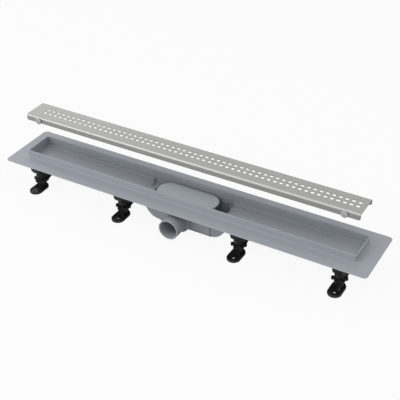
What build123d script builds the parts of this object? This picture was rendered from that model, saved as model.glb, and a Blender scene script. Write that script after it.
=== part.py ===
from build123d import *
from math import copysign, cos, radians, sin, sqrt
import os

# Linear shower drain. A moulded channel with a wide flange carries a trap bowl under its
# middle, with a side outlet. A folded steel grate is held above the channel, as it is lifted
# out. Four cradles stand under the channel, each on two screw feet with a thumb wheel.
# The origin is on the floor below the middle of the channel. X runs along the channel,
# the outlet points to -Y and Z is up. All sizes are in millimetres.

# Flange and channel
flange_length = 818.0
flange_width = 140.5
flange_thickness = 2.0
flange_corner = 8.5
flange_height = 70.0
channel_length = 745.0
channel_width = 65.5
channel_corner = 1.5
wall = 2.5
rim_height = 15.0
ledge_drop = 4.0
ledge_width = 6.0
floor_drop_at_end = 7.2
floor_drop_at_sump = 12.5
floor_corner = 5.0

# Ramp that leads the floor into the sump
ramp_length = 24.0
ramp_width = 36.0
ramp_drop = 3.5

# Sump opening, whose ends round off the ledge, and trap bowl
sump_length = 182.0
sump_shift = -4.0
sump_corner = 2.0
ledge_round = 5.5
shelf_drop = 16.0
bowl_length = 197.0
bowl_shift = 11.0
bowl_depth = 60.0
bowl_end_radius = 56.0
bowl_edge_radius = 14.0
bowl_corner = 12.0
shoulder_length = 116.0
shoulder_shift = 12.0
shoulder_depth = 2.0
recess_length = 90.0
recess_shift = -1.0
recess_depth = 2.5

# Guides on the walls of the sump
guide_length = 12.5
guide_spacing = 146.0
guide_depth = 3.5
guide_height = 29.5

# Outlet spigot
outlet_radius = 21.5
outlet_wall = 2.25
outlet_drop = 35.0
outlet_reach = 78.4
outlet_collar_radius = 27.0
outlet_collar_length = 5.5
outlet_seat_radius = 21.5
outlet_seat_inset = 7.6
outlet_port_radius = 15.5

# Trap insert, its cover and the gasket round its port
insert_length = 118.0
insert_shift = 0.3
insert_wall = 2.0
insert_rim_height = 2.0
insert_mouth_height = 9.1
insert_foot_radius = 2.5
insert_foot_spacing_x = 36.0
insert_foot_spacing_y = 20.0
weir_base_height = 3.6
weir_height = 35.6
weir_length = 56.0
weir_width = 36.0
port_radius = 14.0
gasket_radius = 19.2
gasket_bore = 15.0
gasket_thickness = 2.5
cover_length = 136.5
cover_width = 53.5
cover_corner = 26.0
cover_rise = 2.0
cover_thickness = 2.0
cover_wall = 1.6
cover_depth = 14.0
cover_edge = 1.2
cover_notch_width = 16.0
cover_notch_height = 11.0
cover_clearance = 0.3

# Grate
grate_length = 743.5
grate_width = 57.3
grate_thickness = 1.5
grate_depth = 13.5
grate_bend = 4.5
grate_skirt_corner = 4.0
grate_height = 171.2
hole_size = 7.0
hole_pitch = 12.69
hole_row_spacing = 12.6
holes_per_row = 56
hole_rows = 2
hole_field_x = 8.0
hole_field_y = 0.8

# Stops that carry the grate on the ledge
stop_radius = 7.0
stop_thickness = 3.8
stop_edge = 0.7
stop_neck_radius = 4.8
stop_neck_length = 1.4
stop_spacing = 682.6
stop_lift = 4.9
stop_stud_radius = 2.5
stop_stud_clearance = 0.2
stop_head_radius = 3.6
stop_head_thickness = 1.5

# Cradles
cradle_inner_x = 135.0
cradle_outer_x = 347.0
cradle_thickness = 20.0
cradle_clearance = 0.3
nose_radius = 26.0
nose_centre_y = 28.3
nose_centre_drop = 12.0
boss_radius = 9.5
boss_front_y = 36.0
collar_radius = 10.5
upper_collar_radius = 10.7
upper_collar_height = 2.5
upper_collar_gap = 5.0
arm_underside = 13.2
arm_thickness = 4.8
arch_half_span = 28.0
arch_rise = 6.1
pocket_length = 26.0
pocket_height = 24.0
pocket_base = 26.0
pocket_depth = 7.0
pocket_corner = 4.0

# Screw feet and thumb wheels
foot_y = 34.0
spindle_radius = 6.5
spindle_clearance = 0.3
spindle_top = 52.0
wheel_radius = 16.2
wheel_thickness = 6.0
wheel_clearance = 0.3
wheel_hub_radius = 11.0
lobe_count = 6
lobe_radius = 3.4
lobe_start = 20.0
foot_width = 28.0
foot_length = 48.5
foot_toe_y = 69.0
foot_thickness = 4.5
foot_rim = 2.6
foot_plate = 3.0
foot_edge = 0.8
foot_hub_radius = 9.0
foot_hub_gap = 0.6
anchor_radius = 2.75
rib_thickness = 2.0
rib_reach_front = 18.0
rib_reach_rear = 13.0
rib_angle = 35.0

# Levels and half sizes that follow from the values above
flange_underside = flange_height - flange_thickness
rim_top = flange_height + rim_height
ledge_top = flange_height - ledge_drop
ledge_underside = ledge_top - wall
end_floor = flange_height - floor_drop_at_end
sump_floor = flange_height - floor_drop_at_sump
floor_width = channel_width - 2 * ledge_width
channel_half = channel_length / 2
sump_half = sump_length / 2
sump_left = sump_shift - sump_half
sump_right = sump_shift + sump_half
bowl_bottom = flange_height - bowl_depth
collar_half_length = sump_half + wall
bowl_half_width = channel_width / 2 + wall
shelf_underside = flange_height - shelf_drop - wall
outlet_z = flange_height - outlet_drop
outlet_bore = outlet_radius - outlet_wall
inner_front_y = bowl_half_width - wall
seat_face_y = inner_front_y - outlet_seat_inset
insert_width = 2 * (seat_face_y - gasket_thickness)
insert_corner = insert_width / 2 - insert_wall
bowl_floor = bowl_bottom + recess_depth + wall
cover_top = flange_height + cover_rise
insert_top = cover_top - cover_thickness
pocket_corner_radius = cover_corner - cover_wall
insert_rim = cover_width / 2 - cover_wall - cover_clearance - insert_width / 2
arm_top = arm_underside + arm_thickness
wheel_base = arm_top + wheel_clearance
window_top = wheel_base + wheel_thickness + wheel_clearance
stop_x = stop_spacing / 2
skirt_bottom = grate_height - grate_depth
stop_z = skirt_bottom + stop_lift
cradle_positions = [-cradle_outer_x, -cradle_inner_x, cradle_inner_x, cradle_outer_x]

os.makedirs("parts", exist_ok=True)


def save(piece, name):
    piece.label = name
    export_step(piece, f"parts/{name}.step")


def floor_level(x):
    """Height of the channel floor at x, between the sump and the end on the side of x."""
    sump_edge = sump_right if x > 0 else sump_left
    share = (x - sump_edge) / (copysign(channel_half, x) - sump_edge)
    return sump_floor + share * (end_floor - sump_floor)


def trough_form(grow, depth):
    """The trough from the ledge down to the sloped floor, as a solid.

    grow widens it on every side and depth lowers its floor, so that the void and the
    outside of its walls come from the same lines.
    """
    half = channel_half + grow
    with BuildPart() as form:
        with BuildSketch(Plane.XZ):
            with BuildLine():
                Polyline(
                    (-half, ledge_top),
                    (-half, end_floor - depth),
                    (sump_left, sump_floor - depth),
                    (sump_right, sump_floor - depth),
                    (half, end_floor - depth),
                    (half, ledge_top),
                    close=True,
                )
            make_face()
        extrude(amount=floor_width / 2 + grow, both=True)
        with BuildSketch(Plane.XY.offset(sump_floor - depth)):
            RectangleRounded(channel_length + 2 * grow, floor_width + 2 * grow, floor_corner + grow)
        extrude(amount=floor_drop_at_sump + depth, mode=Mode.INTERSECT)
        left_ramp = sump_left - ramp_length
        right_ramp = sump_right + ramp_length
        with BuildSketch(Plane.XZ):
            with BuildLine():
                Polyline(
                    (left_ramp, ledge_top),
                    (left_ramp, floor_level(left_ramp) - depth),
                    (sump_left, sump_floor - ramp_drop - depth),
                    (sump_right, sump_floor - ramp_drop - depth),
                    (right_ramp, floor_level(right_ramp) - depth),
                    (right_ramp, ledge_top),
                    close=True,
                )
            make_face()
        extrude(amount=ramp_width / 2 + grow, both=True)
    return form.part


def bowl_form(inset):
    """The rounded tub of the bowl, drawn in by inset on every face but its open top."""
    half_length = bowl_length / 2 - inset
    half_width = bowl_half_width - shoulder_depth - inset
    bottom = bowl_bottom + inset
    height = flange_underside - bottom
    middle = bottom + height / 2
    with BuildPart() as form:
        with BuildSketch(Plane.XZ) as side:
            with Locations((bowl_shift, middle)):
                Rectangle(2 * half_length, height)
            fillet(side.vertices().group_by(Axis.Y)[0], bowl_end_radius - inset)
        extrude(amount=half_width, both=True)
        with BuildSketch(Plane.YZ) as section:
            with Locations((0, middle)):
                Rectangle(2 * half_width, height)
            fillet(section.vertices().group_by(Axis.Y)[0], bowl_edge_radius - inset)
        extrude(amount=bowl_length, both=True, mode=Mode.INTERSECT)
        with BuildSketch(Plane.XY.offset(bottom)):
            with Locations((bowl_shift, 0)):
                RectangleRounded(2 * half_length, 2 * half_width, bowl_corner - inset)
        extrude(amount=height, mode=Mode.INTERSECT)
    return form.part


def bowl_solid(inset):
    """The tub with its wider middle, its raised floor and the collar round its top."""
    half_width = bowl_half_width - inset
    bottom = bowl_bottom + inset
    shoulder_half = shoulder_length / 2 - inset
    with BuildPart() as solid:
        add(bowl_form(inset))
        with BuildSketch(Plane.YZ.offset(shoulder_shift - shoulder_half)) as section:
            with Locations((0, bottom)):
                Rectangle(
                    2 * half_width,
                    flange_underside - bottom,
                    align=(Align.CENTER, Align.MIN),
                )
            fillet(section.vertices().group_by(Axis.Y)[0], bowl_edge_radius - inset)
        extrude(amount=2 * shoulder_half)
        with BuildSketch(Plane.XY):
            with Locations((recess_shift, 0)):
                Rectangle(recess_length + 2 * inset, 2 * bowl_half_width)
        extrude(amount=bottom + recess_depth, mode=Mode.SUBTRACT)
        with BuildSketch(Plane.XY.offset(shelf_underside + inset)):
            with Locations((sump_shift, 0)):
                RectangleRounded(
                    2 * (collar_half_length - inset),
                    2 * half_width,
                    sump_corner + wall - inset,
                )
        extrude(amount=flange_underside - shelf_underside - inset)
    return solid.part


def sump_opening():
    """The opening of the sump through the channel floor."""
    with BuildPart() as opening:
        with BuildSketch(Plane.XY):
            with Locations((sump_shift, 0)):
                RectangleRounded(sump_length, channel_width, sump_corner)
        extrude(amount=flange_height)
    return opening.part


def ledge_ends():
    """The rounding that the sump's opening gives to the four ends of the ledge."""
    corner_x = sump_length + ledge_round
    corner_y = floor_width + ledge_round
    with BuildPart() as ends:
        with BuildSketch(Plane.XY.offset(sump_floor - wall)):
            with Locations((sump_shift, 0)):
                with GridLocations(corner_x, corner_y, 2, 2):
                    Rectangle(ledge_round, ledge_round)
                with GridLocations(
                    corner_x + ledge_round, corner_y + ledge_round, 2, 2
                ):
                    Circle(ledge_round, mode=Mode.SUBTRACT)
        extrude(amount=ledge_top - sump_floor + wall)
    return ends.part


def channel_form():
    """The outside of the channel's trough below the ledge, with blocks at the sump's ends."""
    block_length = ledge_round + wall
    block_width = bowl_half_width - floor_width / 2
    with BuildPart() as form:
        add(trough_form(wall, wall))
        with BuildSketch(Plane.XY.offset(sump_floor - wall)):
            with Locations((sump_shift, 0)):
                with GridLocations(
                    sump_length + block_length, floor_width + block_width, 2, 2
                ):
                    Rectangle(block_length, block_width)
        extrude(amount=ledge_underside - sump_floor + wall)
    return form.part


# Channel tray: flange, upstand and trough with a sloped floor, open where the sump is
with BuildPart() as channel_tray:
    with BuildSketch(Plane.XY.offset(flange_underside)):
        RectangleRounded(flange_length, flange_width, flange_corner)
    extrude(amount=flange_thickness)
    with BuildSketch(Plane.XY.offset(ledge_underside)):
        RectangleRounded(channel_length + 2 * wall, channel_width + 2 * wall, channel_corner + wall)
    extrude(amount=rim_top - ledge_underside)
    add(channel_form())
    with BuildSketch(Plane.XY.offset(ledge_top)):
        RectangleRounded(channel_length, channel_width, channel_corner)
    extrude(amount=rim_top - ledge_top, mode=Mode.SUBTRACT)
    add(trough_form(0, 0), mode=Mode.SUBTRACT)
    add(sump_opening(), mode=Mode.SUBTRACT)
    add(ledge_ends(), mode=Mode.SUBTRACT)

# Outside of the channel round the sump, which the rim of the bowl fits under
with BuildPart() as channel_outside:
    with BuildSketch(Plane.XY.offset(ledge_underside)):
        Rectangle(channel_length, channel_width + 2 * wall)
    extrude(amount=flange_underside - ledge_underside)
    add(channel_form())
    add(sump_opening(), mode=Mode.SUBTRACT)

# Guides that keep the insert clear of the walls, inside the bowl only
bowl_void = bowl_solid(wall)
with BuildPart() as guides:
    with BuildSketch(Plane.XY.offset(ledge_underside - guide_height)):
        with Locations((sump_shift, 0)):
            with GridLocations(guide_spacing, channel_width - guide_depth, 2, 2):
                Rectangle(guide_length, guide_depth)
    extrude(amount=guide_height)
    add(bowl_void, mode=Mode.INTERSECT)

# Trap bowl: tub with rounded ends and a side spigot, welded under the channel
spigot_plane = Plane(origin=(0, 0, outlet_z), x_dir=(1, 0, 0), z_dir=(0, -1, 0))
with BuildPart() as trap_bowl:
    add(bowl_solid(0))
    with BuildSketch(spigot_plane):
        Circle(outlet_radius)
    extrude(amount=outlet_reach)
    with BuildSketch(spigot_plane):
        Circle(outlet_collar_radius)
    extrude(amount=bowl_half_width + outlet_collar_length)
    add(bowl_void, mode=Mode.SUBTRACT)
    add(guides.part)
    with BuildSketch(spigot_plane.offset(seat_face_y)):
        Circle(outlet_seat_radius)
    extrude(amount=inner_front_y - seat_face_y + wall / 2)
    with BuildSketch(spigot_plane):
        Circle(outlet_port_radius)
    extrude(amount=bowl_half_width, mode=Mode.SUBTRACT)
    with BuildSketch(spigot_plane.offset(bowl_half_width - wall / 2)):
        Circle(outlet_bore)
    extrude(amount=outlet_reach, mode=Mode.SUBTRACT)
    add(channel_outside.part, mode=Mode.SUBTRACT)

# Trap insert: a bell with an open mouth near the bowl's floor and a weir box inside it
insert_mouth = bowl_floor + insert_mouth_height
weir_base = bowl_floor + weir_base_height
weir_top = bowl_floor + weir_height
weir_y = (weir_width - insert_width) / 2
with BuildPart() as trap_insert:
    with BuildSketch(Plane.XY.offset(insert_mouth)):
        with Locations((insert_shift, 0)):
            RectangleRounded(insert_length, insert_width, insert_corner)
    extrude(amount=insert_top - insert_mouth)
    with BuildSketch(Plane.XY.offset(insert_top - insert_rim_height)):
        with Locations((insert_shift, 0)):
            RectangleRounded(
                insert_length + 2 * insert_rim,
                insert_width + 2 * insert_rim,
                insert_corner + insert_rim,
            )
    extrude(amount=insert_rim_height)
    with BuildSketch(Plane.XY.offset(insert_mouth)):
        with Locations((insert_shift, 0)):
            RectangleRounded(
                insert_length - 2 * insert_wall,
                insert_width - 2 * insert_wall,
                insert_corner - insert_wall,
            )
    extrude(amount=insert_top - insert_mouth - insert_wall, mode=Mode.SUBTRACT)
    with BuildSketch(Plane.XY.offset(weir_base)):
        with Locations((0, weir_y)):
            Rectangle(weir_length, weir_width)
    extrude(amount=weir_top - weir_base)
    with BuildSketch(Plane.XY.offset(weir_base + insert_wall)):
        with Locations((0, weir_y)):
            Rectangle(weir_length - 2 * insert_wall, weir_width - 2 * insert_wall)
    extrude(amount=weir_top - weir_base - insert_wall, mode=Mode.SUBTRACT)
    with BuildSketch(Plane.XY.offset(bowl_floor)):
        with Locations((0, weir_y)):
            with GridLocations(insert_foot_spacing_x, insert_foot_spacing_y, 2, 2):
                Circle(insert_foot_radius)
    extrude(amount=weir_base_height)
    with BuildSketch(spigot_plane.offset(insert_width / 2 - insert_wall)):
        Circle(port_radius)
    extrude(amount=insert_wall, mode=Mode.SUBTRACT)

# Gasket between the insert's port and the seat round the outlet
with BuildPart() as outlet_gasket:
    with BuildSketch(spigot_plane.offset(insert_width / 2)):
        Circle(gasket_radius)
        Circle(gasket_bore, mode=Mode.SUBTRACT)
    extrude(amount=gasket_thickness)

# Trap cover: a lid with rounded ends and a finger notch in the skirt at each end
with BuildPart() as trap_cover:
    with BuildSketch(Plane.XY.offset(cover_top - cover_depth)):
        with Locations((insert_shift, 0)):
            RectangleRounded(cover_length, cover_width, cover_corner)
    extrude(amount=cover_depth)
    fillet(trap_cover.faces().sort_by(Axis.Z)[-1].edges(), cover_edge)
    with BuildSketch(Plane.XY.offset(cover_top - cover_depth)):
        with Locations((insert_shift, 0)):
            RectangleRounded(
                cover_length - 2 * cover_wall,
                cover_width - 2 * cover_wall,
                pocket_corner_radius,
            )
    extrude(amount=cover_depth - cover_thickness, mode=Mode.SUBTRACT)
    with BuildSketch(Plane.XY.offset(cover_top - cover_depth)):
        with Locations((insert_shift, 0)):
            with GridLocations(cover_length, 0, 2, 1):
                Rectangle(4 * cover_wall, cover_notch_width)
    extrude(amount=cover_notch_height, mode=Mode.SUBTRACT)

save(channel_tray.part, "channel_tray")
save(trap_bowl.part, "trap_bowl")
save(trap_insert.part, "trap_insert")
save(outlet_gasket.part, "outlet_gasket")
save(trap_cover.part, "trap_cover")

# Grate: one folded sheet with a skirt along each side and two rows of square holes
grate_half = grate_width / 2
grate_inner = grate_half - grate_thickness
with BuildPart() as grate:
    with BuildSketch(Plane.YZ):
        with BuildLine():
            FilletPolyline(
                (-grate_half, skirt_bottom),
                (-grate_half, grate_height),
                (grate_half, grate_height),
                (grate_half, skirt_bottom),
                radius=grate_bend,
            )
            FilletPolyline(
                (-grate_inner, skirt_bottom),
                (-grate_inner, grate_height - grate_thickness),
                (grate_inner, grate_height - grate_thickness),
                (grate_inner, skirt_bottom),
                radius=grate_bend - grate_thickness,
            )
            Line((-grate_half, skirt_bottom), (-grate_inner, skirt_bottom))
            Line((grate_half, skirt_bottom), (grate_inner, skirt_bottom))
        make_face()
    extrude(amount=grate_length / 2, both=True)
    skirt_corners = grate.edges().filter_by(Axis.Y).group_by(Axis.Z)[0]
    fillet(skirt_corners, grate_skirt_corner)
    with BuildSketch(Plane.XY.offset(grate_height)):
        with Locations((hole_field_x, hole_field_y)):
            with GridLocations(hole_pitch, hole_row_spacing, holes_per_row, hole_rows):
                Rectangle(hole_size, hole_size)
    extrude(amount=-grate_thickness, mode=Mode.SUBTRACT)
    with BuildSketch(Plane.XZ):
        with Locations((0, stop_z)):
            with GridLocations(stop_spacing, 0, 2, 1):
                Circle(stop_stud_radius + stop_stud_clearance)
    extrude(amount=grate_half, both=True, mode=Mode.SUBTRACT)
save(grate.part, "grate")

# Stops: plastic buttons pressed into the skirts, which hang below them
for side_name, side in (("front", -1), ("rear", 1)):
    for end_name, end in (("left", -1), ("right", 1)):
        button_plane = Plane(
            origin=(end * stop_x, side * grate_half, stop_z), x_dir=(1, 0, 0), z_dir=(0, side, 0)
        )
        with BuildPart() as grate_stop:
            with BuildSketch(button_plane.offset(stop_neck_length)):
                Circle(stop_radius)
            extrude(amount=stop_thickness - stop_neck_length)
            rim_edge = grate_stop.edges().filter_by(GeomType.CIRCLE).sort_by(Axis.Y)
            chamfer(rim_edge[0] if side < 0 else rim_edge[-1], stop_edge)
            with BuildSketch(button_plane):
                Circle(stop_neck_radius)
            extrude(amount=stop_neck_length)
            with BuildSketch(button_plane.offset(-grate_thickness)):
                Circle(stop_stud_radius)
            extrude(amount=grate_thickness)
            with BuildSketch(button_plane.offset(-grate_thickness - stop_head_thickness)):
                Circle(stop_head_radius)
            extrude(amount=stop_head_thickness)
        save(grate_stop.part, f"grate_stop_{side_name}_{end_name}")

# Cradles: each holds the channel between two noses and carries two screw feet
nose_centre_z = flange_height - nose_centre_drop
nose_top_reach = sqrt(nose_radius**2 - (flange_underside - nose_centre_z) ** 2)
nose_foot_drop = sqrt(nose_radius**2 - (boss_front_y - nose_centre_y) ** 2)
nose_mid_angle = radians(215)
nose_top = (-nose_centre_y - nose_top_reach, flange_underside)
nose_middle = (
    -nose_centre_y + nose_radius * cos(nose_mid_angle),
    nose_centre_z + nose_radius * sin(nose_mid_angle),
)
nose_foot = (-boss_front_y, nose_centre_z - nose_foot_drop)
arch_radius = (arch_half_span**2 + arch_rise**2) / (2 * arch_rise)
arch_top = arm_underside + arch_rise
arch_quarter = arch_top - arch_radius + sqrt(arch_radius**2 - (arch_half_span / 2) ** 2)
trough_side = floor_width / 2 + wall + cradle_clearance
ledge_side = channel_width / 2 + wall + cradle_clearance
shoulder = ledge_underside - cradle_clearance
window_back = foot_y - wheel_radius - 2 * wheel_clearance

for index, centre_x in enumerate(cradle_positions, start=1):
    inner_x = centre_x - copysign(cradle_thickness / 2, centre_x)
    saddle = floor_level(inner_x) - wall - cradle_clearance
    with BuildPart() as cradle:
        with BuildSketch(Plane.YZ.offset(centre_x - cradle_thickness / 2)):
            with BuildLine():
                Polyline(
                    (0, saddle),
                    (-trough_side, saddle),
                    (-trough_side, shoulder),
                    (-ledge_side, shoulder),
                    (-ledge_side, flange_underside),
                    nose_top,
                )
                ThreePointArc(nose_top, nose_middle, nose_foot)
                Polyline(
                    nose_foot,
                    (-boss_front_y, arm_underside),
                    (-arch_half_span, arm_underside),
                )
                ThreePointArc(
                    (-arch_half_span, arm_underside),
                    (-arch_half_span / 2, arch_quarter),
                    (0, arch_top),
                )
                Line((0, arch_top), (0, saddle))
            make_face()
        extrude(amount=cradle_thickness)
        with BuildSketch(Plane.XY.offset(window_top)):
            with Locations((centre_x, -foot_y)):
                Circle(boss_radius)
        extrude(amount=shoulder - window_top)
        with BuildSketch(Plane.XY.offset(saddle)):
            with Locations((centre_x, 0)):
                Rectangle(2 * boss_radius, 2 * trough_side)
        extrude(amount=flange_underside - saddle, mode=Mode.SUBTRACT)
        with BuildSketch(Plane.XY.offset(window_top + upper_collar_gap)):
            with Locations((centre_x, -foot_y)):
                Circle(upper_collar_radius)
        extrude(amount=upper_collar_height)
        with BuildSketch(Plane.XY.offset(arm_underside)):
            with Locations((centre_x, -foot_y)):
                Circle(collar_radius)
        extrude(amount=arm_thickness)
        with BuildSketch(Plane.XY.offset(arm_top)):
            with Locations((centre_x, -window_back)):
                Rectangle(2 * wheel_radius, foot_y, align=(Align.CENTER, Align.MAX))
        extrude(amount=window_top - arm_top, mode=Mode.SUBTRACT)
        with BuildSketch(Plane.XY.offset(arm_underside)):
            with Locations((centre_x, -foot_y)):
                Circle(spindle_radius + spindle_clearance)
        extrude(amount=spindle_top + spindle_clearance - arm_underside, mode=Mode.SUBTRACT)
        mirror(about=Plane.XZ)
        for face_side in (-1, 1):
            outer_face = centre_x + face_side * cradle_thickness / 2
            with BuildSketch(Plane.YZ.offset(outer_face)):
                with Locations((0, pocket_base)):
                    pocket = Rectangle(
                        pocket_length, pocket_height, align=(Align.CENTER, Align.MIN)
                    )
                fillet(pocket.vertices(), pocket_corner)
            extrude(amount=-face_side * pocket_depth, mode=Mode.SUBTRACT)
    save(cradle.part, f"cradle_{index}")

# Thumb wheels and screw feet, one pair at each end of each cradle
hub_top = arm_underside - foot_hub_gap
for side_name, side in (("front", -1), ("rear", 1)):
    for index, centre_x in enumerate(cradle_positions, start=1):
        with BuildPart() as height_wheel:
            with BuildSketch(Plane.XY.offset(wheel_base)):
                with Locations((centre_x, side * foot_y)):
                    Circle(wheel_hub_radius)
                    with PolarLocations(
                        wheel_radius - lobe_radius, lobe_count, start_angle=lobe_start
                    ):
                        Circle(lobe_radius)
                    Circle(spindle_radius + spindle_clearance, mode=Mode.SUBTRACT)
            extrude(amount=wheel_thickness)
        save(height_wheel.part, f"height_wheel_{side_name}_{index}")

        foot_middle = side * (foot_toe_y - foot_length / 2)
        with BuildPart() as screw_foot:
            with BuildSketch(Plane.XY):
                with Locations((centre_x, foot_middle)):
                    SlotOverall(foot_length, foot_width, rotation=90)
            extrude(amount=foot_thickness)
            chamfer(screw_foot.faces().sort_by(Axis.Z)[-1].edges(), foot_edge)
            with BuildSketch(Plane.XY.offset(foot_plate)):
                with Locations((centre_x, foot_middle)):
                    SlotOverall(
                        foot_length - 2 * foot_rim, foot_width - 2 * foot_rim, rotation=90
                    )
            extrude(amount=foot_thickness - foot_plate, mode=Mode.SUBTRACT)
            with BuildSketch(Plane.XY.offset(foot_plate)):
                with Locations((centre_x, side * foot_y)):
                    Circle(foot_hub_radius)
            extrude(amount=hub_top - foot_plate)
            for angle, reach in (
                (90 - rib_angle, rib_reach_front),
                (90 + rib_angle, rib_reach_front),
                (-90 - rib_angle, rib_reach_rear),
                (-90 + rib_angle, rib_reach_rear),
            ):
                out_x = cos(radians(angle))
                out_y = side * sin(radians(angle))
                rib_plane = Plane(
                    origin=(centre_x, side * foot_y, foot_plate),
                    x_dir=(out_x, out_y, 0),
                    z_dir=(out_y, -out_x, 0),
                )
                with BuildSketch(rib_plane):
                    with BuildLine():
                        Polyline(
                            (0, 0), (reach, 0), (foot_hub_radius, hub_top - foot_plate),
                            (0, hub_top - foot_plate), close=True,
                        )
                    make_face()
                extrude(amount=rib_thickness / 2, both=True)
            with BuildSketch(Plane.XY.offset(hub_top)):
                with Locations((centre_x, side * foot_y)):
                    Circle(spindle_radius)
            extrude(amount=spindle_top - hub_top)
            with BuildSketch(Plane.XY):
                with Locations((centre_x, side * (foot_toe_y - foot_width / 2))):
                    Circle(anchor_radius)
            extrude(amount=foot_thickness, mode=Mode.SUBTRACT)
        save(screw_foot.part, f"screw_foot_{side_name}_{index}")
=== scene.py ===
"""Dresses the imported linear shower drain: moulded edges, threads, finishes, light and camera."""

import logging
from dataclasses import dataclass, field
from enum import Enum
from math import cos, pi, radians, sin

import bmesh
import bpy
import numpy as np
from mathutils import Matrix, Vector


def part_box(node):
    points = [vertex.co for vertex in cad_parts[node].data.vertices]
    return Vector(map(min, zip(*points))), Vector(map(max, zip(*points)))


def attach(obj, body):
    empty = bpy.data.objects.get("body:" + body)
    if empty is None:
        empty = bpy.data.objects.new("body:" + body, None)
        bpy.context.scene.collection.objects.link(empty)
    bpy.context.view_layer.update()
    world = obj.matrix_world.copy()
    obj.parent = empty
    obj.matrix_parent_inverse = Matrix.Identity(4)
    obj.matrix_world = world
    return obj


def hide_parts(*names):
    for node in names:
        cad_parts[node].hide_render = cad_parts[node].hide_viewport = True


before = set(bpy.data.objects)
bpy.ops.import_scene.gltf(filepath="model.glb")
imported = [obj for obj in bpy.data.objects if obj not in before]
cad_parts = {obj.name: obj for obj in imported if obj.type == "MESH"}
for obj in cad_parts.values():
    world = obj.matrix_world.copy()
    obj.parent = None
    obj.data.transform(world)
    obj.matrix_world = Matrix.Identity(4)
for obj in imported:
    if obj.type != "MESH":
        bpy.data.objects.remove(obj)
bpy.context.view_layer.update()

log = logging.getLogger("drain")

Triple = tuple[float, float, float]

MM = 0.001
DRAIN = "drain"

# Neighbouring faces less than FLAT apart are one flat face, and more than CREASE apart an edge.
FLAT = radians(0.04)
CREASE = radians(32)

# Vertices nearer than WELD merge, and edges shorter than SLIVER go.
WELD = 0.001 * MM
SLIVER = 0.0001 * MM

EDGE_SEGMENTS = 2
LARGEST_FACE_WEIGHT = 100

# A Mix node's sockets go by index, because its number, vector and colour sockets share names.
MIX_SHARE, MIX_LOW, MIX_HIGH, MIX_COLOUR = 0, 6, 7, 2

WHITE = (1.0, 1.0, 1.0)

# The middle value of a noise.
MEAN = 0.5


class Slot(Enum):
    """The record's material slots."""

    CHANNEL = "channel_plastic"
    INSERT = "insert_plastic"
    COVER = "cover_plastic"
    STOP = "stop_plastic"
    BLACK = "black_plastic"
    GASKET = "gasket_rubber"
    STEEL = "brushed_steel"


class Edge(Enum):
    """How far the edges of a piece are rounded, in metres."""

    SHEET = 0.22 * MM
    FINE = 0.35 * MM
    MOULDED = 0.6 * MM
    SOFT = 0.9 * MM


class Side(Enum):
    """The long sides of the drain, by the way that each faces along Y."""

    FRONT = -1
    REAR = 1

    @property
    def word(self) -> str:
        """The side as the names of the nodes give it."""
        return self.name.lower()


class End(Enum):
    """The ends of the drain, as the names of the nodes give them."""

    LEFT = "left"
    RIGHT = "right"


# Shader maths


class Field:
    """A value that varies over a surface: one output socket, with arithmetic."""

    def __init__(self, graph: "ShaderGraph", socket: bpy.types.NodeSocket | None) -> None:
        """Wraps a socket.

        Args:
            graph: the graph that the socket belongs to.
            socket: an output socket of one of its nodes, or None for a node without one.
        """
        self.graph = graph
        self.socket = socket

    def _math(self, operation: str, first: "Field | float", second: "Field | float") -> "Field":
        """Adds a Math node on two values and returns its result."""
        return self.graph.node("ShaderNodeMath", {"operation": operation}, {0: first, 1: second})

    def __add__(self, other: "Field | float") -> "Field":
        """Sum of this value and another."""
        return self._math("ADD", self, other)

    def __radd__(self, other: "Field | float") -> "Field":
        """Sum with a plain number on the left."""
        return self._math("ADD", other, self)

    def __sub__(self, other: "Field | float") -> "Field":
        """This value less another."""
        return self._math("SUBTRACT", self, other)

    def __rsub__(self, other: "Field | float") -> "Field":
        """A plain number less this value."""
        return self._math("SUBTRACT", other, self)

    def __mul__(self, other: "Field | float") -> "Field":
        """Product of this value and another."""
        return self._math("MULTIPLY", self, other)

    def __rmul__(self, other: "Field | float") -> "Field":
        """Product with a plain number on the left."""
        return self._math("MULTIPLY", other, self)

    def most(self, other: "Field | float") -> "Field":
        """The greater of this value and another."""
        return self._math("MAXIMUM", self, other)


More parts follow.
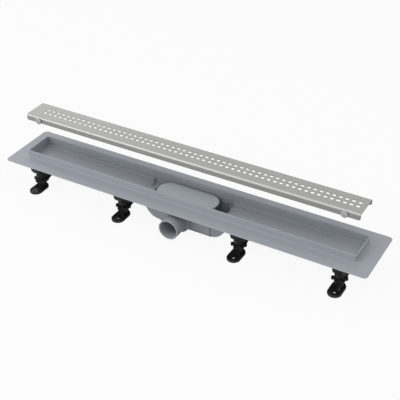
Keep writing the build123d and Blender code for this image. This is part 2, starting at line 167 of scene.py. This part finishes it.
class ShaderGraph:
    """The node tree of a material or a world, built by Python expressions."""

    def __init__(self, owner: bpy.types.Material | bpy.types.World) -> None:
        """Empties the owner's node tree.

        Args:
            owner: the new material or world that the tree belongs to.
        """
        self.owner = owner
        owner.use_nodes = True
        self.tree = owner.node_tree
        self.tree.nodes.clear()

    def node(
        self,
        kind: str,
        settings: dict[str, object] | None = None,
        values: dict[int | str, object] | None = None,
        output: int | str = 0,
    ) -> Field:
        """Adds a node.

        Args:
            kind: the node's type name.
            settings: attributes of the node, set before its sockets are filled.
            values: numbers, colours or fields for its input sockets, by index or name.
            output: index or name of the output socket to return.

        Returns:
            The chosen output of the node.
        """
        made = self.tree.nodes.new(kind)
        for key, value in (settings or {}).items():
            setattr(made, key, value)
        for key, value in (values or {}).items():
            if isinstance(value, Field):
                self.tree.links.new(value.socket, made.inputs[key])
            else:
                made.inputs[key].default_value = value
        return Field(self, made.outputs[output] if len(made.outputs) else None)

    def position(self, scale: Triple) -> Field:
        """Object coordinates, stretched along each axis.

        Args:
            scale: factor along X, Y and Z.

        Returns:
            A vector field.
        """
        place = self.node("ShaderNodeTexCoord", output="Object")
        return self.node("ShaderNodeMapping", None, {"Vector": place, "Scale": scale})

    def noise(
        self,
        scale: float,
        detail: float = 3.0,
        roughness: float = 0.55,
        stretch: Triple = (1.0, 1.0, 1.0),
    ) -> Field:
        """Smooth noise between 0 and 1, centred near a half.

        Args:
            scale: waves in a metre.
            detail: number of finer layers.
            roughness: weight of the finer layers.
            stretch: factor along X, Y and Z on top of the scale.

        Returns:
            A number field.
        """
        place = self.position(stretch)
        return self.node(
            "ShaderNodeTexNoise",
            None,
            {"Vector": place, "Scale": scale, "Detail": detail, "Roughness": roughness},
        )

    def blend(self, share: Field, low: Triple, high: Triple) -> Field:
        """Colour between two colours.

        Args:
            share: 0 for low and 1 for high.
            low: red, green and blue.
            high: red, green and blue.

        Returns:
            A colour field.
        """
        return self.node(
            "ShaderNodeMix",
            {"data_type": "RGBA", "clamp_factor": True},
            {MIX_SHARE: share, MIX_LOW: (*low, 1.0), MIX_HIGH: (*high, 1.0)},
            output=MIX_COLOUR,
        )

    def bump(self, height: Field, strength: float, distance: float) -> Field:
        """Normal field of a height field.

        Args:
            height: the height, in units of distance.
            strength: share of the effect.
            distance: metres of height for one unit.

        Returns:
            A normal field.
        """
        return self.node(
            "ShaderNodeBump",
            None,
            {"Strength": strength, "Distance": distance, "Height": height},
            output="Normal",
        )

    def surface(self, values: dict[int | str, object]) -> bpy.types.Material:
        """Adds the shader and the output.

        Args:
            values: what the shader's sockets hold.

        Returns:
            The finished material.
        """
        shader = self.node("ShaderNodeBsdfPrincipled", None, values, output="BSDF")
        self.node("ShaderNodeOutputMaterial", None, {"Surface": shader})
        return self.owner

    def seen(self, glossy: float) -> Field:
        """How much of a backdrop's white a ray sees.

        Args:
            glossy: the share that reflections and glass see.

        Returns:
            1 for the camera, the share for glossy and transmitted rays, and 0 for light.
        """
        camera = self.node("ShaderNodeLightPath", output="Is Camera Ray")
        mirror = self.node("ShaderNodeLightPath", output="Is Glossy Ray")
        glass = self.node("ShaderNodeLightPath", output="Is Transmission Ray")
        return camera.most(mirror.most(glass) * glossy)


def shade(colour: Triple, factor: float) -> Triple:
    """A colour made darker or lighter by a factor."""
    return tuple(min(1.0, c * factor) for c in colour)


# Finishes


@dataclass(frozen=True)
class MouldedPlastic:
    """A moulded plastic with a faint mottle, a fine spark-eroded grain and worn gloss."""

    name: str
    colour: Triple
    roughness: float
    mottle: float = 0.05
    broad_scale: float = 9.0
    broad_share: float = 0.7
    broad_wear: float = 0.12
    fine_scale: float = 120.0
    fine_wear: float = 0.06
    grain: float = 0.04 * MM
    grain_scale: float = 1400.0
    grain_strength: float = 0.5
    sheen: float = 0.5

    def material(self) -> bpy.types.Material:
        """Builds the material.

        Returns:
            The material, with mottle in its colour and grain in its normal.
        """
        graph = ShaderGraph(bpy.data.materials.new(self.name))
        broad = graph.noise(self.broad_scale, detail=4.0)
        fine = graph.noise(self.fine_scale)
        share = broad * self.broad_share + fine * (1 - self.broad_share)
        colour = graph.blend(
            share, shade(self.colour, 1 - self.mottle), shade(self.colour, 1 + self.mottle)
        )
        rough = (
            self.roughness + (broad - MEAN) * self.broad_wear + (fine - MEAN) * self.fine_wear
        )
        grain = graph.noise(self.grain_scale, detail=2.0)
        return graph.surface(
            {
                "Base Color": colour,
                "Roughness": rough,
                "Normal": graph.bump(grain, self.grain_strength, self.grain),
                "Specular IOR Level": self.sheen,
            }
        )


@dataclass(frozen=True)
class BrushedSteel:
    """Stainless sheet with a brushed line along its length."""

    name: str
    colour: Triple
    roughness: float
    contrast: float = 0.06
    line_scale: float = 900.0
    line_stretch: Triple = (0.012, 1.0, 1.0)
    line_share: float = 0.6
    line_wear: float = 0.16
    line_depth: float = 0.02 * MM
    line_strength: float = 0.35
    patch_scale: float = 7.0
    patch_stretch: Triple = (0.5, 2.0, 2.0)
    patch_wear: float = 0.08

    def material(self) -> bpy.types.Material:
        """Builds the material.

        Returns:
            The material: noise drawn out along X drives colour, roughness and normal.
        """
        graph = ShaderGraph(bpy.data.materials.new(self.name))
        lines = graph.noise(self.line_scale, roughness=0.6, stretch=self.line_stretch)
        patches = graph.noise(self.patch_scale, roughness=0.5, stretch=self.patch_stretch)
        share = lines * self.line_share + patches * (1 - self.line_share)
        colour = graph.blend(
            share, shade(self.colour, 1 - self.contrast), shade(self.colour, 1 + self.contrast)
        )
        rough = (
            self.roughness + (lines - MEAN) * self.line_wear + (patches - MEAN) * self.patch_wear
        )
        return graph.surface(
            {
                "Base Color": colour,
                "Metallic": 1.0,
                "Roughness": rough,
                "Normal": graph.bump(lines, self.line_strength, self.line_depth),
            }
        )


@dataclass(frozen=True)
class Rubber:
    """Matt black rubber with a dusty bloom."""

    name: str
    colour: Triple
    roughness: float = 0.8
    bloom_scale: float = 220.0
    bare: float = 0.7
    dusty: float = 1.6
    wear: float = 0.2
    depth: float = 0.05 * MM
    strength: float = 0.4

    def material(self) -> bpy.types.Material:
        """Builds the material.

        Returns:
            The material, with bloom in its colour, roughness and normal.
        """
        graph = ShaderGraph(bpy.data.materials.new(self.name))
        bloom = graph.noise(self.bloom_scale, detail=4.0)
        return graph.surface(
            {
                "Base Color": graph.blend(
                    bloom, shade(self.colour, self.bare), shade(self.colour, self.dusty)
                ),
                "Roughness": self.roughness + (bloom - MEAN) * self.wear,
                "Normal": graph.bump(bloom, self.strength, self.depth),
            }
        )


@dataclass(frozen=True)
class Finishes:
    """All the finishes of the drain."""

    channel: MouldedPlastic = MouldedPlastic("channel grey", (0.300, 0.320, 0.350), 0.46)
    insert: MouldedPlastic = MouldedPlastic("insert grey", (0.280, 0.300, 0.320), 0.50)
    cover: MouldedPlastic = MouldedPlastic("cover light grey", (0.326, 0.354, 0.379), 0.44)
    stop: MouldedPlastic = MouldedPlastic("stop grey", (0.360, 0.365, 0.370), 0.42)
    black: MouldedPlastic = MouldedPlastic(
        "black plastic",
        (0.008, 0.008, 0.009),
        0.42,
        mottle=0.25,
        grain=0.05 * MM,
        grain_scale=1100.0,
        sheen=0.35,
    )
    gasket: Rubber = Rubber("gasket rubber", (0.016, 0.016, 0.016))
    steel: BrushedSteel = BrushedSteel("brushed steel", (0.372, 0.372, 0.363), 0.46)

    def built(self) -> dict[Slot, bpy.types.Material]:
        """Builds every finish once.

        Returns:
            A material for each slot of the record.
        """
        return {
            Slot.CHANNEL: self.channel.material(),
            Slot.INSERT: self.insert.material(),
            Slot.COVER: self.cover.material(),
            Slot.STOP: self.stop.material(),
            Slot.BLACK: self.black.material(),
            Slot.GASKET: self.gasket.material(),
            Slot.STEEL: self.steel.material(),
        }


# Meshes


def grid_mesh(name: str, points: np.ndarray, wrap: bool = False) -> bpy.types.Mesh:
    """A mesh from a grid of points.

    Args:
        name: the mesh's name.
        points: array of rows by columns by 3, in metres.
        wrap: whether the last column joins the first.

    Returns:
        The mesh: one quad between each four neighbours of the grid.
    """
    rows, columns = points.shape[:2]
    index = np.arange(rows * columns).reshape(rows, columns)
    if wrap:
        index = np.concatenate([index, index[:, :1]], axis=1)
    quads = np.stack([index[:-1, :-1], index[:-1, 1:], index[1:, 1:], index[1:, :-1]], axis=-1)
    mesh = bpy.data.meshes.new(name)
    mesh.from_pydata(points.reshape(-1, 3).tolist(), [], quads.reshape(-1, 4).tolist())
    mesh.update()
    return mesh


def solid_of(node: str) -> bmesh.types.BMesh:
    """A joined copy of a CAD node's mesh.

    Args:
        node: the node's name.

    Returns:
        The copy, with doubles merged and flat faces made whole.
    """
    work = bmesh.new()
    work.from_mesh(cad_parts[node].data)
    bmesh.ops.remove_doubles(work, verts=work.verts, dist=WELD)
    bmesh.ops.dissolve_limit(
        work, angle_limit=FLAT, verts=work.verts, edges=work.edges, use_dissolve_boundaries=False
    )
    return work


def round_edges(piece: bpy.types.Object, edge: Edge) -> None:
    """Rounds the edges of a piece and keeps its flat faces flat in the light.

    Args:
        piece: the piece.
        edge: how far its edges are rounded.
    """
    bevel = piece.modifiers.new("edges", "BEVEL")
    bevel.width = edge.value
    bevel.segments = EDGE_SEGMENTS
    bevel.limit_method = "ANGLE"
    bevel.angle_limit = CREASE
    bevel.use_clamp_overlap = False
    weighted = piece.modifiers.new("shading", "WEIGHTED_NORMAL")
    weighted.keep_sharp = True
    weighted.weight = LARGEST_FACE_WEIGHT


# Sub-assemblies


@dataclass
class Assembly:
    """Pieces that are dressed together, each in the place of one CAD node."""

    materials: dict[Slot, bpy.types.Material]

    def piece(
        self,
        node: str,
        work: bmesh.types.BMesh,
        slot: Slot,
        body: str = DRAIN,
        edge: Edge | None = None,
    ) -> bpy.types.Object:
        """Puts a shape into the scene in a CAD node's place.

        Args:
            node: the node's name.
            work: the shape, which is freed.
            slot: the record's slot that the finish stands for.
            body: the CAD body that the piece moves with.
            edge: how its edges are rounded, or None to leave them.

        Returns:
            The piece, which rides on its body and stands for the node.
        """
        mesh = bpy.data.meshes.new(f"{node}_shape")
        work.to_mesh(mesh)
        work.free()
        mesh.materials.append(self.materials[slot])
        mesh.shade_smooth()
        piece = bpy.data.objects.new(f"{node}_dressed", mesh)
        bpy.context.scene.collection.objects.link(piece)
        if edge is None:
            mesh.set_sharp_from_angle(angle=CREASE)
        else:
            round_edges(piece, edge)
        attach(piece, body)
        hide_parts(node)
        return piece

    def softened(self, node: str, slot: Slot, edge: Edge, body: str = DRAIN) -> bpy.types.Object:
        """Dresses a CAD node's own shape, with its edges as moulding or rolling leaves them.

        Args:
            node: the node's name.
            slot: the record's slot of its finish.
            edge: how far the edges are rounded.
            body: the CAD body that it moves with.

        Returns:
            The piece, which stands for the node.
        """
        piece = self.piece(node, solid_of(node), slot, body, edge)
        faces = len(piece.data.polygons)
        log.info("%s: %d faces before its edges are rounded", piece.name, faces)
        return piece


@dataclass
class Channel(Assembly):
    """The channel with its flange, and the bowl under it."""

    tray_edge: Edge = Edge.SOFT
    bowl_edge: Edge = Edge.FINE

    def build(self) -> list[bpy.types.Object]:
        """Dresses the tray and the bowl.

        Returns:
            The two pieces.
        """
        return [
            self.softened("channel_tray", Slot.CHANNEL, self.tray_edge),
            self.softened("trap_bowl", Slot.CHANNEL, self.bowl_edge),
        ]


@dataclass
class Trap(Assembly):
    """The insert in the bowl, its gasket and its lid."""

    edge: Edge = Edge.FINE

    def build(self) -> list[bpy.types.Object]:
        """Dresses the insert and the lid, and gives the gasket its finish.

        Returns:
            The insert and the lid. The gasket stays a CAD node.
        """
        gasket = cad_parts["outlet_gasket"]
        gasket.data.materials.clear()
        gasket.data.materials.append(self.materials[Slot.GASKET])
        return [
            self.softened("trap_insert", Slot.INSERT, self.edge),
            self.softened("trap_cover", Slot.COVER, self.edge),
        ]


@dataclass
class Grate(Assembly):
    """The folded steel sheet and the domed plastic stops in its skirts."""

    edge: Edge = Edge.SHEET
    skirt: float = 28.65 * MM
    dome_radius: dict[Side, float] = field(
        default_factory=lambda: {Side.FRONT: 7.0 * MM, Side.REAR: 5.2 * MM}
    )
    squareness: float = 2.4
    rim: float = 0.7 * MM
    crown: float = 3.8 * MM
    neck_radius: float = 4.4 * MM
    neck: float = 1.4 * MM
    stud_radius: float = 2.5 * MM
    sheet: float = 1.5 * MM
    head_radius: float = 3.6 * MM
    head: float = 1.5 * MM
    around: int = 48
    arc: int = 12

    def profile(self, radius: float) -> np.ndarray:
        """Half the outline of a stop, from the middle of its inner head to its crown.

        The dome is a quarter of a superellipse: its radius and its rise, as shares of their
        greatest and each to the power of the squareness, add up to one.

        Args:
            radius: the dome's radius.

        Returns:
            Array of rows of radius and distance out of the skirt.
        """
        stem = [
            (0.0, -self.sheet - self.head),
            (self.head_radius, -self.sheet - self.head),
            (self.head_radius, -self.sheet),
            (self.stud_radius, -self.sheet),
            (self.stud_radius, 0.0),
            (self.neck_radius, 0.0),
            (self.neck_radius, self.neck),
            (radius, self.neck),
        ]
        base = self.neck + self.rim
        turn = np.linspace(0, pi / 2, self.arc)
        power = 2 / self.squareness
        out = radius * np.cos(turn).clip(0, 1) ** power
        rise = base + (self.crown - base) * np.sin(turn) ** power
        return np.concatenate([np.array(stem), np.stack([out, rise], axis=-1)])

    def stop(self, side: Side, end: End) -> bpy.types.Object:
        """One stop: its outline turned about an axis square to the skirt.

        Args:
            side: the skirt that it is in.
            end: the end of the grate that it is near.

        Returns:
            The piece, which stands for the CAD stop.
        """
        node = f"grate_stop_{side.word}_{end.value}"
        low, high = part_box(node)
        outline = self.profile(self.dome_radius[side])
        radius, out = outline[:, :1], outline[:, 1:]
        angle = np.linspace(0, 2 * pi, self.around, endpoint=False)[None, :]
        points = np.stack(
            [
                (low.x + high.x) / 2 + radius * np.cos(angle),
                side.value * (self.skirt + out) + 0 * angle,
                (low.z + high.z) / 2 + radius * np.sin(angle),
            ],
            axis=-1,
        )
        work = bmesh.new()
        work.from_mesh(grid_mesh("stop", points, wrap=True))
        bmesh.ops.remove_doubles(work, verts=work.verts, dist=WELD)
        bmesh.ops.dissolve_degenerate(work, edges=work.edges, dist=SLIVER)
        bmesh.ops.recalc_face_normals(work, faces=work.faces)
        return self.piece(node, work, Slot.STOP)

    def build(self) -> list[bpy.types.Object]:
        """Dresses the sheet and its four stops.

        Returns:
            The sheet and then the stops.
        """
        sheet = self.softened("grate", Slot.STEEL, self.edge)
        return [sheet, *(self.stop(side, end) for side in Side for end in End)]


@dataclass
class ScrewFeet(Assembly):
    """The cradles with their wheels and screw feet."""

    edge: Edge = Edge.MOULDED
    count: int = 4
    out: float = 34.0 * MM
    hub_top: float = 12.6 * MM
    hub_margin: float = 0.2 * MM
    crest_radius: float = 6.5 * MM
    crest_margin: float = 0.1 * MM
    root_radius: float = 5.4 * MM
    pitch: float = 4.0 * MM
    crest_share: float = 0.15
    flank_share: float = 0.25
    run_out: float = 0.3
    columns: int = 36
    rows_per_turn: int = 8

    def thread(self, x: float, y: float, top: float) -> bpy.types.Mesh:
        """The threaded spindle above the hub.

        The radius is the root plus the depth times a trapezoid wave of height over pitch less
        the share of a turn, and it widens to the crest at the hub and tapers in at the tip.

        Args:
            x: place of the axis along the channel.
            y: place of the axis across the channel.
            top: height of the tip.

        Returns:
            The mesh, closed at its tip.
        """
        turns = (top - self.hub_top) / self.pitch
        rows = int(turns * self.rows_per_turn) + 1
        height = np.linspace(self.hub_top, top, rows)[:, None]
        angle = np.linspace(0, 2 * pi, self.columns, endpoint=False)[None, :]
        phase = (height / self.pitch - angle / (2 * pi)) % 1.0
        reach = self.crest_share + self.flank_share
        wave = np.clip((reach - np.abs(phase - 0.5)) / self.flank_share, 0.0, 1.0)
        depth = self.crest_radius - self.root_radius
        fade = self.run_out * self.pitch
        foot = np.clip(1 - (height - self.hub_top) / fade, 0, 1)
        tip = np.clip((top - height) / fade, 0, 1)
        radius = self.root_radius + depth * wave
        radius = radius + (self.crest_radius - radius) * foot
        radius = np.minimum(radius, self.root_radius + depth * tip)
        ring = np.stack(
            [x + radius * np.cos(angle), y + radius * np.sin(angle), height + 0 * angle], axis=-1
        )
        centre = np.broadcast_to(np.array([x, y, top]), (1, self.columns, 3))
        return grid_mesh("thread", np.concatenate([ring, centre], axis=0), wrap=True)

    def foot(self, side: Side, index: int) -> bpy.types.Object:
        """One foot: the CAD plate, hub and ribs with a threaded spindle in place of the rod.

        Args:
            side: the side of the drain that it is on.
            index: the number of its cradle.

        Returns:
            The piece, which stands for the CAD foot.
        """
        node = f"screw_foot_{side.word}_{index}"
        low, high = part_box(node)
        x = (low.x + high.x) / 2
        y = side.value * self.out
        reach = self.crest_radius + self.crest_margin
        work = solid_of(node)
        rod = [
            face
            for face in work.faces
            if face.calc_center_median().z > self.hub_top + self.hub_margin
            and all(Vector((v.co.x - x, v.co.y - y)).length < reach for v in face.verts)
        ]
        bmesh.ops.delete(work, geom=rod, context="FACES")
        work.from_mesh(self.thread(x, y, high.z))
        bmesh.ops.remove_doubles(work, verts=work.verts, dist=WELD)
        return self.piece(node, work, Slot.BLACK, node)

    def build(self) -> list[bpy.types.Object]:
        """Dresses the cradles, wheels and feet.

        Returns:
            The cradles, and then each wheel with its foot.
        """
        numbers = range(1, self.count + 1)
        made = [self.softened(f"cradle_{n}", Slot.BLACK, self.edge) for n in numbers]
        for side in Side:
            for n in numbers:
                wheel = f"height_wheel_{side.word}_{n}"
                made.append(self.softened(wheel, Slot.BLACK, self.edge, wheel))
                made.append(self.foot(side, n))
        return made


# Studio


@dataclass
class Lamp:
    """A soft rectangular lamp aimed at the drain."""

    name: str
    place: Triple
    size: tuple[float, float]
    power: float
    aim: Triple = (0.0, 0.0, 0.08)

    def build(self) -> bpy.types.Object:
        """Adds the lamp.

        Returns:
            The lamp's object, turned to its aim.
        """
        light = bpy.data.lights.new(self.name, "AREA")
        light.shape = "RECTANGLE"
        light.size, light.size_y = self.size
        light.energy = self.power
        lamp = bpy.data.objects.new(self.name, light)
        lamp.location = self.place
        way = Vector(self.aim) - Vector(self.place)
        lamp.rotation_mode = "QUATERNION"
        lamp.rotation_quaternion = way.to_track_quat("-Z", "Y")
        bpy.context.scene.collection.objects.link(lamp)
        return lamp


@dataclass
class Studio:
    """Floor, world, lamps and camera."""

    azimuth: float = 29.51
    elevation: float = 34.37
    eye: Triple = (0.7836, -1.3342, 1.1188)
    focal: float = 83.556
    sensor: float = 36.0
    clip: tuple[float, float] = (0.05, 60.0)
    ambient: float = 0.69
    sky: Triple = (0.98, 0.99, 1.0)
    sky_mirrored: float = 1.0
    floor_colour: Triple = (0.54, 0.54, 0.54)
    floor_white: float = 0.93
    floor_mirrored: float = 0.1
    floor_size: float = 14.0
    floor_gap: float = 0.4 * MM
    lamps: tuple[Lamp, ...] = (
        Lamp("front low", (-1.60, -1.90, 0.80), (1.6, 2.2), 25.0),
        Lamp("high left", (-0.90, -1.1, 2.25), (1.6, 2.0), 10.0),
        Lamp("high right", (0.84, -1.0, 2.33), (1.6, 1.6), 16.0),
        Lamp("back left", (-2.2, 1.7, 1.35), (1.6, 1.6), 5.0),
    )

    def camera(self) -> bpy.types.Object:
        """The camera of the photograph.

        Returns:
            The camera, level, looking down along its azimuth and elevation.
        """
        a, e = radians(self.azimuth), radians(self.elevation)
        back = Vector((sin(a) * cos(e), -cos(a) * cos(e), sin(e)))
        right = Vector((cos(a), sin(a), 0.0))
        up = back.cross(right)
        lens = bpy.data.cameras.new("camera")
        lens.lens = self.focal
        lens.sensor_width = self.sensor
        lens.clip_start, lens.clip_end = self.clip
        camera = bpy.data.objects.new("camera", lens)
        turn = Matrix((right, up, back)).transposed().to_4x4()
        camera.matrix_world = Matrix.Translation(Vector(self.eye)) @ turn
        bpy.context.scene.collection.objects.link(camera)
        bpy.context.scene.camera = camera
        return camera

    def floor(self) -> bpy.types.Object:
        """A plain pale floor that shows white and keeps a soft shadow.

        Returns:
            The floor, a hair below the feet.
        """
        half = self.floor_size / 2
        side = np.linspace(-half, half, 2)
        across, along = np.meshgrid(side, side)
        points = np.stack([across, along, np.full_like(across, -self.floor_gap)], axis=-1)
        floor = bpy.data.objects.new("floor", grid_mesh("floor", points))
        bpy.context.scene.collection.objects.link(floor)
        graph = ShaderGraph(bpy.data.materials.new("floor white"))
        paint = graph.node("ShaderNodeBsdfDiffuse", None, {"Color": (*self.floor_colour, 1.0)})
        glow = graph.node("ShaderNodeEmission", None, {"Color": (*WHITE, 1.0)})
        share = graph.seen(self.floor_mirrored) * self.floor_white
        both = graph.node("ShaderNodeMixShader", None, {0: share, 1: paint, 2: glow})
        graph.node("ShaderNodeOutputMaterial", None, {"Surface": both})
        floor.data.materials.append(graph.owner)
        return floor

    def world(self) -> None:
        """An even pale surrounding that the camera and polished metal see as white."""
        world = bpy.data.worlds.new("studio")
        bpy.context.scene.world = world
        graph = ShaderGraph(world)
        light = {"Color": (*self.sky, 1.0), "Strength": self.ambient}
        soft = graph.node("ShaderNodeBackground", None, light)
        white = graph.node("ShaderNodeBackground", None, {"Color": (*WHITE, 1.0)})
        share = graph.seen(self.sky_mirrored)
        both = graph.node("ShaderNodeMixShader", None, {0: share, 1: soft, 2: white})
        graph.node("ShaderNodeOutputWorld", None, {"Surface": both})

    def build(self) -> None:
        """Sets up the whole studio."""
        self.world()
        self.floor()
        for lamp in self.lamps:
            lamp.build()
        self.camera()
        bpy.context.scene.view_settings.view_transform = "Standard"


def main() -> None:
    """Builds the sub-assemblies in order, then the studio."""
    logging.basicConfig(level=logging.INFO, format="%(name)s: %(message)s")
    materials = Finishes().built()
    for assembly in (Channel(materials), Trap(materials), Grate(materials), ScrewFeet(materials)):
        for piece in assembly.build():
            log.info("%s built %s", type(assembly).__name__, piece.name)
    Studio().build()


if __name__ == "__main__":
    main()
